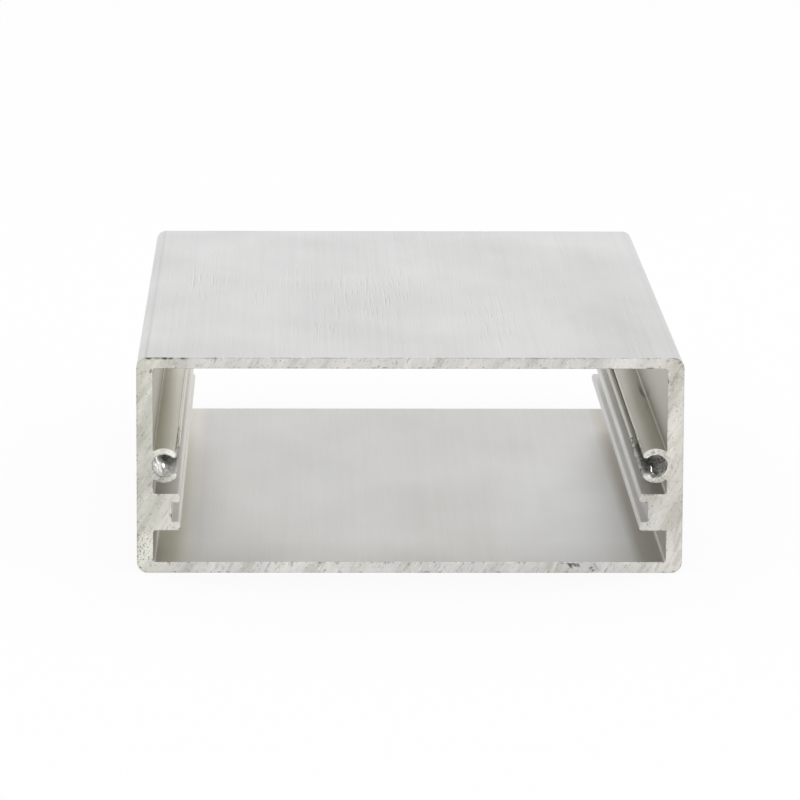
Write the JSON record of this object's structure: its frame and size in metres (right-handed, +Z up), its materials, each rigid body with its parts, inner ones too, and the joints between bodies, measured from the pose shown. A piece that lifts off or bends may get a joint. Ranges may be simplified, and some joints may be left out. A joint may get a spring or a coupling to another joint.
{
  "type": "extruded aluminium enclosure body",
  "caption": "Open-ended box extrusion for electronics, with an open screw port and a slotted circuit-board rail along each inner side wall and saw-cut ends.",
  "frame": {"origin": "centre of the underside, midway along the length", "axes": "+X across the width, +Y along the extrusion from the front end to the rear end, +Z up"},
  "size_m": [0.05, 0.08, 0.02],
  "materials": {
    "mill_aluminium": "bare mill finish with fine lines along the extrusion, saw-cut ends"
  },
  "bodies": {
    "root": {"enclosure_body": "mill_aluminium"}
  },
  "joints": []
}
